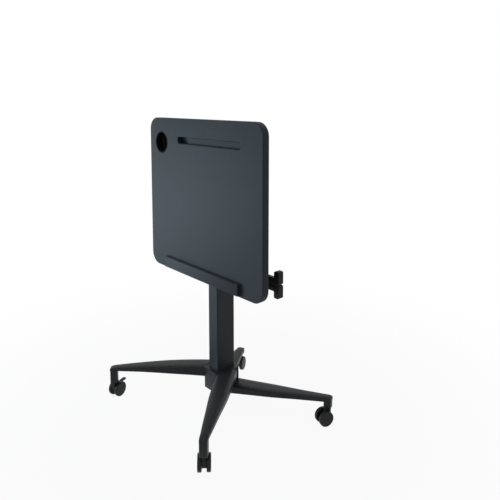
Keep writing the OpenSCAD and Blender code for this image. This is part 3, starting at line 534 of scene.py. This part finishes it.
# Caster corner, start from the column's axis, then ridge and underside at the stations
STATIONS = ("Start", "Middle", "End")
LEGS = {
    "leg_front_left": ("fl", (-0.026, 0.007), (0.1175, 0.1208, 0.1115), (0.0765, 0.0945, 0.0995)),
    "leg_front_right": ("fr", (0.026, 0.007), (0.1175, 0.1208, 0.1115), (0.0765, 0.0945, 0.0995)),
    "leg_rear_right": ("rr", (0.030, 0.020), (0.070, 0.0795, 0.094), (0.0365, 0.0595, 0.0775)),
    "leg_rear_left": ("rl", (-0.018, -0.003), (0.072, 0.077, 0.0775), (0.036, 0.048, 0.0585)),
}

POST_INSET = 0.0004
POST_CORNER = 0.005
POST_SOFT = 0.0015
# Lift above the foot and inset of a post's lowest rings, as shares of its softening
POST_RINGS = ((0.0, 1.0), (0.3, 0.3), (1.0, 0.0))
HUB_CORNER = 0.011
CUTTER_HEIGHTS = (-0.01, 0.3)


def leg_tree():
    """A leg along +X: tapering, with a crowned top, soft lower edges and heights that follow two curves."""
    t = Tree("leg_by_rule")
    length, root, end = t.inputs("Length", "Root Half Width", "End Half Width")
    crown, tip = t.inputs("Crown", "Tip Drop")
    ridge = t.inputs(*("Ridge " + station for station in STATIONS))
    under = t.inputs(*("Under " + station for station in STATIONS))
    paint = t.input("Material", "NodeSocketMaterial")
    grid = t.add("GeometryNodeMeshGrid", {
        "Size X": 1.0, "Size Y": 1.0, "Vertices X": LEG_ROWS, "Vertices Y": LEG_COLUMNS})
    place = t.add("ShaderNodeSeparateXYZ", {"Vector": t.add("GeometryNodeInputPosition").outputs["Position"]})
    # The grid runs from the hub to the tip in X, and once around the section in Y
    step = t.plus(place.outputs["X"], 0.5)
    along = t.minus(1.0, t.power(t.minus(1.0, step), TIP_CROWDING))
    turn = t.times(t.plus(place.outputs["Y"], 0.5), 2 * math.pi)
    cosine = t.math("COSINE", turn)
    sine = t.math("SINE", turn)
    above = t.math("GREATER_THAN", sine, 0.0)

    def choose(high, low):
        return t.plus(t.times(above, high), t.times(t.minus(1.0, above), low))

    def height(start, middle, last):
        """A parabola through three heights along the leg."""
        back = t.minus(1.0, along)
        pull = t.minus(t.times(middle, 2.0), t.times(t.plus(start, last), 0.5))
        first = t.times(t.times(back, back), start)
        second = t.times(t.times(t.times(back, along), 2.0), pull)
        third = t.times(t.times(along, along), last)
        return t.plus(t.plus(first, second), third)

    widths = t.curve(along, [(x, (y + WIDTH_SPAN - 1) / WIDTH_SPAN) for x, y in WIDTH_SHARES])
    taper = t.minus(t.times(widths, WIDTH_SPAN), WIDTH_SPAN - 1)
    half = t.plus(end, t.times(t.minus(root, end), taper))
    dome = t.times(crown, t.curve(along, CROWN_SHARES))
    top = t.minus(height(*ridge), t.times(tip, t.curve(along, TIP_SHARES)))
    shoulder = t.minus(top, dome)
    side = t.times(t.math("SIGN", cosine), t.power(t.math("ABSOLUTE", cosine), choose(*SIDE_POWERS)))
    rise = t.power(t.math("ABSOLUTE", sine), choose(*RISE_POWERS))
    reach = choose(dome, t.times(t.minus(shoulder, height(*under)), -1.0))
    point = t.add("ShaderNodeCombineXYZ", {
        "X": t.times(along, length),
        "Y": t.times(half, side),
        "Z": t.plus(shoulder, t.times(rise, reach)),
    })
    moved = t.add("GeometryNodeSetPosition", {
        "Geometry": grid.outputs["Mesh"], "Position": point.outputs["Vector"]})
    joined = t.add("GeometryNodeMergeByDistance", {
        "Geometry": moved.outputs["Geometry"], "Distance": LEG_MERGE})
    t.close(joined.outputs["Geometry"], paint)
    return t


def leg_values(sizes, length, ridge, under):
    """Input values of the leg tree."""
    values = {
        "Length": length, "Root Half Width": sizes.root_half, "End Half Width": sizes.end_half,
        "Crown": sizes.crown, "Tip Drop": sizes.tip_drop, "Material": finish("coat"),
    }
    for name, heights in (("Ridge ", ridge), ("Under ", under)):
        for station, height in zip(STATIONS, heights):
            values[name + station] = height
    return values


def hub_cutter():
    """The hub's outline as a tall block, to end the legs at the hub's sides."""
    low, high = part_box("hub")
    corners = []
    for sx, sy in ((1, -1), (1, 1), (-1, 1), (-1, -1)):
        x = high.x if sx > 0 else low.x
        y = high.y if sy > 0 else low.y
        pair = [(x - sx * HUB_CORNER, y), (x, y - sy * HUB_CORNER)]
        corners += pair if sx * sy < 0 else list(reversed(pair))
    bm = bmesh.new()
    rings = [[bm.verts.new((x, y, z)) for x, y in corners] for z in CUTTER_HEIGHTS]
    bridge(bm, *rings)
    for ring in rings:
        bm.faces.new(ring)
    bmesh.ops.recalc_face_normals(bm, faces=bm.faces)
    return new_piece("hub_cutter", bm)


def add_post(bm, place, half_x, half_y, foot, top):
    """Adds an upright post with round corners and a softened foot to a bmesh."""
    outline = []
    for cx, cy, start in ((1, 1, 0), (-1, 1, 90), (-1, -1, 180), (1, -1, 270)):
        middle_x = cx * (half_x - POST_CORNER)
        middle_y = cy * (half_y - POST_CORNER)
        outline += arc(middle_x, middle_y, POST_CORNER, start, start + 90, steps=5)
    levels = [(foot + POST_SOFT * lift, POST_SOFT * inset) for lift, inset in POST_RINGS]
    rings = []
    for z, inset in levels + [(top, 0.0)]:
        share_x = (half_x - inset) / half_x
        share_y = (half_y - inset) / half_y
        ring = [place @ Vector((x * share_x, y * share_y, z)) for x, y in outline]
        rings.append([bm.verts.new(point) for point in ring])
    for low, high in zip(rings, rings[1:]):
        bridge(bm, low, high)
    bm.faces.new(list(reversed(rings[0])))
    bm.faces.new(rings[-1])


def cut_by(piece, cutter):
    """Takes the cutter's volume away from a piece."""
    cut = piece.modifiers.new("cut", "BOOLEAN")
    cut.operation = "DIFFERENCE"
    cut.solver = "EXACT"
    cut.object = cutter
    bake_modifiers(piece)


class FTT_OT_legs(bpy.types.Operator):
    """Make the four legs with their drops"""

    bl_idname = "flip_table.legs"
    bl_label = "Legs"

    def execute(self, context):
        sizes = context.scene.table_legs
        tree = leg_tree()
        cutter = hub_cutter()
        for node, (corner, start, ridge, under) in LEGS.items():
            begin = Vector((COLUMN.x + start[0], COLUMN.y + start[1], 0))
            stem = Vector((STEMS[corner].x, STEMS[corner].y, 0))
            run = stem - begin
            turn = Matrix.Rotation(math.atan2(run.y, run.x), 4, "Z")
            values = leg_values(sizes, run.length + sizes.overhang, ridge, under)
            bm = bmesh_of(tree.grow(node, bpy.data.meshes.new("leg_seed"), values))
            bmesh.ops.holes_fill(bm, edges=[e for e in bm.edges if e.is_boundary])
            bmesh.ops.transform(bm, matrix=Matrix.Translation(begin) @ turn, verts=bm.verts)
            bmesh.ops.recalc_face_normals(bm, faces=bm.faces)
            leg = new_piece(node + "_shell", bm)
            cut_by(leg, cutter)
            bm = bmesh_of(leg.data)
            add_post(
                bm, Matrix.Translation(stem) @ turn, sizes.overhang - POST_INSET, sizes.end_half - POST_INSET,
                sizes.drop_foot, ridge[-1] - sizes.crown)
            bm.to_mesh(leg.data)
            bm.free()
            smooth(leg.data, LEG_SHARP)
            settle(leg, "base", "coat", node)
        bpy.data.objects.remove(cutter)
        return {"FINISHED"}


class FTT_OT_hub(bpy.types.Operator):
    """Finish the hub and its hidden bolts and cover"""

    bl_idname = "flip_table.hub"
    bl_label = "Hub"

    def execute(self, context):
        eased_node("hub", "coat", width=0.0012)
        eased_node("hub_cover", "plastic", width=0.0006)
        eased_node("stem_sockets", "plastic", width=0.0004)
        coat_node("hub_bolts", "steel")
        return {"FINISHED"}


class FTT_OT_column(bpy.types.Operator):
    """Finish the two column tubes, their guides and the gas spring"""

    bl_idname = "flip_table.column"
    bl_label = "Column"

    def execute(self, context):
        for node in ("outer_column", "inner_column", "gas_cylinder"):
            coat_node(node, "tube_coat")
        eased_node("column_guide", "plastic", width=0.0008)
        coat_node("lower_glide", "plastic")
        coat_node("gas_rod", "steel")
        return {"FINISHED"}


# Top


CUP_RIM = 0.002
CUP_WALL = 0.0016
CUP_FLOOR = 0.002
CUP_LIP = 0.0012
CUP_FOOT = 0.003
CUP_BOWL = 0.006
CUP_EDGE = 0.0006
CUP_CHAMFER = 0.0004
CUP_STEPS = 96


def cup_outline(flange, depth):
    """Half section of the cup holder, (radius, height), with its flange's top at height 0."""
    outer = flange - CUP_RIM
    inner = outer - CUP_WALL
    floor = -depth + CUP_FLOOR
    return [
        (0.0, -depth),
        (outer - CUP_FOOT, -depth),
        *arc(outer - CUP_FOOT, -depth + CUP_FOOT, CUP_FOOT, -90, 0),
        (outer, -CUP_LIP),
        (flange - CUP_CHAMFER, -CUP_LIP),
        *arc(flange - CUP_EDGE, -CUP_EDGE, CUP_EDGE, -30, 90),
        *arc(inner + CUP_LIP, -CUP_LIP, CUP_LIP, 90, 180),
        *arc(inner - CUP_BOWL, floor + CUP_BOWL, CUP_BOWL, 0, -90),
        (0.0, floor),
    ]


class FTT_OT_top(bpy.types.Operator):
    """Finish the tabletop, its cup holder and its edge stop"""

    bl_idname = "flip_table.top"
    bl_label = "Top"

    def execute(self, context):
        coat_node("tabletop", "board")
        eased_node("edge_stop", "stop", width=0.0012, angle=25.0)
        low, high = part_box("cup_holder")
        centre = (low + high) / 2
        bm = lathe(cup_outline((high.x - low.x) / 2, high.y - low.y), CUP_STEPS)
        place = Matrix.Translation((centre.x, low.y, centre.z)) @ Matrix.Rotation(math.radians(90), 4, "X")
        bmesh.ops.transform(bm, matrix=place, verts=bm.verts)
        # The cup gets the near-black colour that paints the shade inside it
        settle(new_piece("cup_liner", bm), "top", "painted_shade_liner", "cup_holder")
        return {"FINISHED"}


class FTT_OT_tilt_mechanism(bpy.types.Operator):
    """Finish the column head, the tilt brackets, the lock and the valve parts"""

    bl_idname = "flip_table.tilt_mechanism"
    bl_label = "Tilt mechanism"

    def execute(self, context):
        eased_node("column_head", "coat", width=0.001)
        for look, nodes in (
            ("tube_coat", ("mounting_plate", "tilt_bracket_left", "tilt_bracket_right")),
            ("dark_steel", ("lock_disc", "plunger_housing")),
            ("steel", ("shaft_collars", "valve_lever")),
        ):
            for node in nodes:
                eased_node(node, look, width=0.0005, segments=2)
        for node in ("tilt_shaft", "lock_plunger", "stop_pin", "valve_pin"):
            coat_node(node, "steel")
        coat_node("bracket_bushes", "plastic")
        return {"FINISHED"}


# Screws and springs


SCREW_RADIUS = 0.005
SCREW_HEIGHT = 0.0028
SCREW_STEPS = 24
SCREW_SHARP = 30.0
SHORT_SHANK = 0.0148
LONG_SHANK = 0.0280
# Shares of a screw head's radius and height
THREAD_SHARE = 0.42
SOCKET_SHARE = 0.36
SOCKET_FLOOR = 0.45
SHOULDER_SHARE = 0.35
DOME_START = 0.62
DOME_ANGLES = (20, 45, 70, 90)

# Places in the top's own frame, in millimetres from the tilt shaft
PLATE_SCREWS = [(x, y, 59) for x in (-65, 0, 65) for y in (-76, 76)]
BRACKET_SCREWS = [(x, y, 56) for x in (-110, 110) for y in (-54, 54)]
PADDLE_SCREWS = [(x, y, 59) for x in (145, 204) for y in (-272, -220)]
STOP_SCREWS = [(x, -269, 64.8) for x in (-150, 0, 150)]

SPRING_LENGTH = 0.01085
SPRING_INSET = 0.0009
SPRING_RADIUS = 0.0047
SPRING_WIRE = 0.0008
SPRING_TURNS = 5.0


def top_point(x, y, z):
    """A point of the top's own frame, in millimetres from the tilt shaft, in the row frame at rest."""
    return Vector((SHAFT.x + x / 1000, SHAFT.y - z / 1000, SHAFT.z + y / 1000))


def screw_head(radius, height, shank):
    """A pan head with a hexagonal socket, axis +Z, resting at height 0, with its shank below."""
    thread = radius * THREAD_SHARE
    shoulder = height * SHOULDER_SHARE
    profile = [(thread, -shank), (thread, 0.0), (radius, 0.0), (radius, shoulder)]
    for a in map(math.radians, DOME_ANGLES):
        reach = radius * DOME_START + radius * (1 - DOME_START) * math.cos(a)
        profile.append((reach, shoulder + (height - shoulder) * math.sin(a)))
    angles = circle_angles(SCREW_STEPS)
    sixth = math.pi / 3
    hexagon = [radius * SOCKET_SHARE / math.cos((a + sixth / 2) % sixth - sixth / 2) for a in angles]
    rounds = [([r] * SCREW_STEPS, z) for r, z in profile]
    rounds += [(hexagon, height), (hexagon, height * SOCKET_FLOOR)]
    bm = bmesh.new()
    rings = [
        [bm.verts.new((r * math.cos(a), r * math.sin(a), z)) for r, a in zip(radii, angles)]
        for radii, z in rounds]
    for low, high in zip(rings, rings[1:]):
        bridge(bm, low, high)
    bm.faces.new(list(reversed(rings[0])))
    bm.faces.new(rings[-1])
    bmesh.ops.recalc_face_normals(bm, faces=bm.faces)
    return bm


def screw_tree():
    """One screw on each point of a mesh, all turned the same way."""
    t = Tree("screws_on_points")
    screw = t.input("Screw", "NodeSocketObject")
    turn = t.input("Turn", "NodeSocketVector")
    paint = t.input("Material", "NodeSocketMaterial")
    info = t.add("GeometryNodeObjectInfo", {"Object": screw, "As Instance": True}, transform_space="ORIGINAL")
    points = t.add("GeometryNodeMeshToPoints", {"Mesh": t.entry.outputs["Geometry"]})
    euler = t.add("FunctionNodeEulerToRotation", {"Euler": turn})
    placed = t.add("GeometryNodeInstanceOnPoints", {
        "Points": points.outputs["Points"],
        "Instance": info.outputs["Geometry"],
        "Rotation": euler.outputs["Rotation"],
    })
    t.close(placed.outputs["Instances"], paint)
    return t


class FTT_OT_screws(bpy.types.Operator):
    """Put a socket head screw at each screw hole of the top"""

    bl_idname = "flip_table.screws"
    bl_label = "Screws"

    def execute(self, context):
        tree = screw_tree()
        meshes = []
        for places, shank in (
            (PLATE_SCREWS + BRACKET_SCREWS + PADDLE_SCREWS, SHORT_SHANK),
            (STOP_SCREWS, LONG_SHANK),
        ):
            screw = new_piece("screw_pattern", screw_head(SCREW_RADIUS, SCREW_HEIGHT, shank))
            seed = bpy.data.meshes.new("screw_places")
            seed.from_pydata([tuple(top_point(*p)) for p in places], [], [])
            meshes.append(tree.grow("screws", seed, {
                "Screw": screw, "Turn": (-math.pi / 2, 0.0, 0.0), "Material": finish("steel")}))
            bpy.data.objects.remove(screw)
        settle(new_piece("top_screw_set", bmesh_of(*meshes), SCREW_SHARP), "top", "steel", "top_screws")
        return {"FINISHED"}


def spring_tree():
    """A coil of round wire along +Z."""
    t = Tree("coil_spring")
    radius, length, wire, turns = t.inputs("Radius", "Length", "Wire", "Turns")
    paint = t.input("Material", "NodeSocketMaterial")
    spiral = t.add("GeometryNodeCurveSpiral", {
        "Resolution": 28, "Rotations": turns, "Start Radius": radius, "End Radius": radius, "Height": length})
    ring = t.add("GeometryNodeCurvePrimitiveCircle", {"Resolution": 10, "Radius": wire})
    tube = t.add("GeometryNodeCurveToMesh", {
        "Curve": spiral.outputs["Curve"], "Profile Curve": ring.outputs["Curve"], "Fill Caps": True})
    t.close(tube.outputs["Mesh"], paint)
    return t


class FTT_OT_paddles(bpy.types.Operator):
    """Finish the two paddles, their bracket, pin and return springs"""

    bl_idname = "flip_table.paddles"
    bl_label = "Paddles"

    def execute(self, context):
        for node in ("height_paddle", "tilt_paddle"):
            eased_node(node, "plastic", width=0.0016, segments=4)
        eased_node("paddle_bracket", "tube_coat", width=0.0006, segments=2)
        coat_node("paddle_pin", "steel")
        low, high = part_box("paddle_springs")
        centre = (low + high) / 2
        tree = spring_tree()
        values = {
            "Radius": SPRING_RADIUS, "Length": SPRING_LENGTH - 2 * SPRING_INSET, "Wire": SPRING_WIRE,
            "Turns": SPRING_TURNS, "Material": finish("steel"),
        }
        coils = []
        for z in (low.z, high.z - SPRING_LENGTH):
            coil = tree.grow("coil", bpy.data.meshes.new("coil_seed"), values)
            coil.transform(Matrix.Translation((centre.x, centre.y, z + SPRING_INSET)))
            coils.append(coil)
        bm = bmesh_of(*coils)
        bmesh.ops.recalc_face_normals(bm, faces=bm.faces)
        settle(new_piece("return_coils", bm), "top", "steel", "paddle_springs")
        return {"FINISHED"}


class FTT_OT_cables(bpy.types.Operator):
    """Finish the release cables and their clips"""

    bl_idname = "flip_table.cables"
    bl_label = "Cables"

    def execute(self, context):
        for node in ("height_cable", "tilt_cable", "valve_cable"):
            coat_node(node, "sheath")
        eased_node("cable_clips", "plastic", width=0.0006, segments=2)
        return {"FINISHED"}


# Casters


WHEEL_RADIUS = 0.025
WHEEL_WIDTH = 0.0125
WHEEL_EDGE = 0.003
WHEEL_START = 0.007
WHEEL_STEPS = 72
WHEEL_SHARP = 30.0


def wheel_outline(width):
    """Half section of a wheel: (radius, distance from the inner face)."""
    tread = WHEEL_RADIUS - WHEEL_EDGE
    return [
        (0.0031, 0.0004), (0.0075, 0.0), (0.009, 0.0006), (0.0175, 0.0006), (0.019, 0.0),
        *arc(tread, WHEEL_EDGE, WHEEL_EDGE, -90, 0),
        (WHEEL_RADIUS, width * 0.5),
        *arc(tread, width - WHEEL_EDGE, WHEEL_EDGE, 0, 90),
        (0.0192, width - 0.0002), (0.0188, width - 0.0008), (0.006, width - 0.0005),
        (0.0056, width - 0.0008), (0.0052, width - 0.0004),
        (0.0, width - 0.0003), (0.0, width - 0.0022), (0.0031, width - 0.0022),
    ]


class FTT_OT_casters(bpy.types.Operator):
    """Make the caster wheels and finish the swivels, pins and brake pedals"""

    bl_idname = "flip_table.casters"
    bl_label = "Casters"

    def execute(self, context):
        for corner in CORNERS:
            coat_node("caster_pins_" + corner, "steel")
            eased_node("caster_body_" + corner, "plastic", width=0.0008, segments=2)
            middle = (joint_place(f"roll_{corner}_left") + joint_place(f"roll_{corner}_right")) / 2
            for side in ("left", "right"):
                node = f"wheel_{corner}_{side}"
                out = node_centre(node) - middle
                out.z = 0
                out.normalize()
                turn = Vector((0, 0, 1)).rotation_difference(out).to_matrix().to_4x4()
                place = Matrix.Translation(middle + out * WHEEL_START) @ turn
                bm = lathe(wheel_outline(WHEEL_WIDTH), WHEEL_STEPS)
                bmesh.ops.transform(bm, matrix=place, verts=bm.verts)
                settle(new_piece(node + "_turned", bm, WHEEL_SHARP), node, "nylon", node)
        for corner in ("fl", "fr"):
            eased_node("brake_pedal_" + corner, "plastic", width=0.0005, segments=2)
        return {"FINISHED"}


# Studio


# Name, place, target, size and colour. The power is the studio's property of the same name
SOFTBOXES = (
    ("key", (-1.6, -1.3, 0.24), (0, 0, 0.46), (0.9, 1.0), (0.7, 0.87, 1.0)),
    ("high", (-2.1, -0.7, 2.3), (0, 0, 0.5), (1.2, 1.2), (0.95, 0.98, 1.0)),
    ("fill", (3.0, 0.8, 1.6), (0, 0, 0.5), (1.6, 2.0), (1.0, 0.99, 0.97)),
    ("top", (-0.3, -0.6, 3.2), (0, 0, 0), (2.0, 1.6), (1.0, 1.0, 1.0)),
)
SENSOR_WIDTH = 36.0
FLOOR_HALF = 14.0
ROOM_COLOUR = (0.93, 0.96, 1.0, 1)
WHITE = (1, 1, 1, 1)
# The camera sees this share of plain white near the object, which grows to 1 over the given distances
NEAR_WHITE = 0.93
NEAR = 0.3
FAR = 1.6


def add_camera(scene, studio):
    lens = bpy.data.cameras.new("camera")
    lens.sensor_width = SENSOR_WIDTH
    lens.lens = studio.lens
    lens.shift_y = studio.rise
    camera = bpy.data.objects.new("camera", lens)
    scene.collection.objects.link(camera)
    camera.location = (COLUMN.x + studio.distance_right, COLUMN.y - studio.distance_front, studio.eye_height)
    camera.rotation_euler = (math.pi / 2 - studio.pitch, 0.0, studio.heading)
    scene.camera = camera


def add_softboxes(scene, studio):
    for name, place, target, size, colour in SOFTBOXES:
        light = bpy.data.lights.new(name + "_softbox", "AREA")
        light.shape = "RECTANGLE"
        light.size, light.size_y = size
        light.energy = getattr(studio, name + "_power")
        light.color = colour
        lamp = bpy.data.objects.new(name + "_softbox", light)
        scene.collection.objects.link(lamp)
        lamp.location = place
        lamp.rotation_euler = (Vector(target) - Vector(place)).to_track_quat("-Z", "Y").to_euler()


def background_ray(tree):
    """1 for the rays that should see plain white, and 0 for those that light the object."""
    path = add_node(tree, "ShaderNodeLightPath").outputs
    seen = path["Is Camera Ray"]
    for ray in ("Is Glossy Ray", "Is Transmission Ray"):
        seen = add_node(tree, "ShaderNodeMath", {0: seen, 1: path[ray]}, operation="MAXIMUM").outputs[0]
    return seen


def add_world(scene, studio):
    """A dim room that lights the object, and plain white to the camera."""
    world = bpy.data.worlds.new("studio_world")
    scene.world = world
    world.use_nodes = True
    tree = world.node_tree
    tree.nodes.clear()
    room = add_node(tree, "ShaderNodeBackground", {"Color": ROOM_COLOUR, "Strength": studio.world_light})
    plain = add_node(tree, "ShaderNodeBackground", {"Color": WHITE, "Strength": 1.0})
    mix = add_node(tree, "ShaderNodeMixShader", {
        "Fac": background_ray(tree), 1: room.outputs["Background"], 2: plain.outputs["Background"]})
    add_node(tree, "ShaderNodeOutputWorld", {"Surface": mix.outputs["Shader"]})


def floor_material(colours):
    """A floor that shows near white to the camera and keeps a light shadow."""
    m = Material("studio_floor", Base_Color=(*colours.floor, 1), Roughness=0.9, Specular_IOR_Level=0.1)
    distance = m.add("ShaderNodeVectorMath", {0: m.coords}, operation="LENGTH")
    white = m.add("ShaderNodeMapRange", {
        "Value": distance.outputs["Value"], "From Min": NEAR, "From Max": FAR, "To Min": NEAR_WHITE,
    }, interpolation_type="SMOOTHSTEP")
    share = m.add("ShaderNodeMath", {
        0: background_ray(m.tree), 1: white.outputs["Result"]}, operation="MULTIPLY")
    mix = m.add("ShaderNodeMixShader", {
        "Fac": share.outputs[0],
        1: m.shader.outputs["BSDF"],
        2: m.add("ShaderNodeEmission").outputs["Emission"],
    })
    m.tree.links.new(mix.outputs["Shader"], m.tree.nodes["Material Output"].inputs["Surface"])
    return m.data


class FTT_OT_studio(bpy.types.Operator):
    """Set the camera, the floor, the lights and the view"""

    bl_idname = "flip_table.studio"
    bl_label = "Studio"

    def execute(self, context):
        scene = context.scene
        add_camera(scene, scene.table_studio)
        add_softboxes(scene, scene.table_studio)
        add_world(scene, scene.table_studio)
        bm = bmesh.new()
        bmesh.ops.create_grid(bm, x_segments=1, y_segments=1, size=FLOOR_HALF)
        floor = new_piece("floor", bm)
        floor.data.materials.append(floor_material(scene.table_colours))
        scene.view_settings.view_transform = "Standard"
        return {"FINISHED"}


class FTT_PT_table(bpy.types.Panel):
    """Pieces of the flip top training table"""

    bl_idname = "FTT_PT_table"
    bl_label = "Flip Top Table"
    bl_space_type = "VIEW_3D"
    bl_region_type = "UI"
    bl_category = "Table"

    def draw(self, context):
        column = self.layout.column()
        for operator in OPERATORS:
            column.operator(operator.bl_idname)
        for group in GROUPS:
            settings = getattr(context.scene, group)
            box = self.layout.box()
            for name in settings.bl_rna.properties.keys():
                if name not in ("rna_type", "name"):
                    box.prop(settings, name)


GROUPS = {
    "table_colours": FTT_PG_colours,
    "table_legs": FTT_PG_legs,
    "table_studio": FTT_PG_studio,
}
OPERATORS = (
    FTT_OT_studio,
    FTT_OT_hub,
    FTT_OT_legs,
    FTT_OT_column,
    FTT_OT_top,
    FTT_OT_tilt_mechanism,
    FTT_OT_paddles,
    FTT_OT_cables,
    FTT_OT_screws,
    FTT_OT_casters,
)
CLASSES = (*GROUPS.values(), *OPERATORS, FTT_PT_table)


def register():
    for cls in CLASSES:
        bpy.utils.register_class(cls)
    for name, group in GROUPS.items():
        setattr(bpy.types.Scene, name, PointerProperty(type=group))


def unregister():
    for name in GROUPS:
        delattr(bpy.types.Scene, name)
    for cls in reversed(CLASSES):
        bpy.utils.unregister_class(cls)


def main():
    register()
    for operator in OPERATORS:
        group, name = operator.bl_idname.split(".")
        getattr(getattr(bpy.ops, group), name)()


if __name__ == "__main__":
    main()
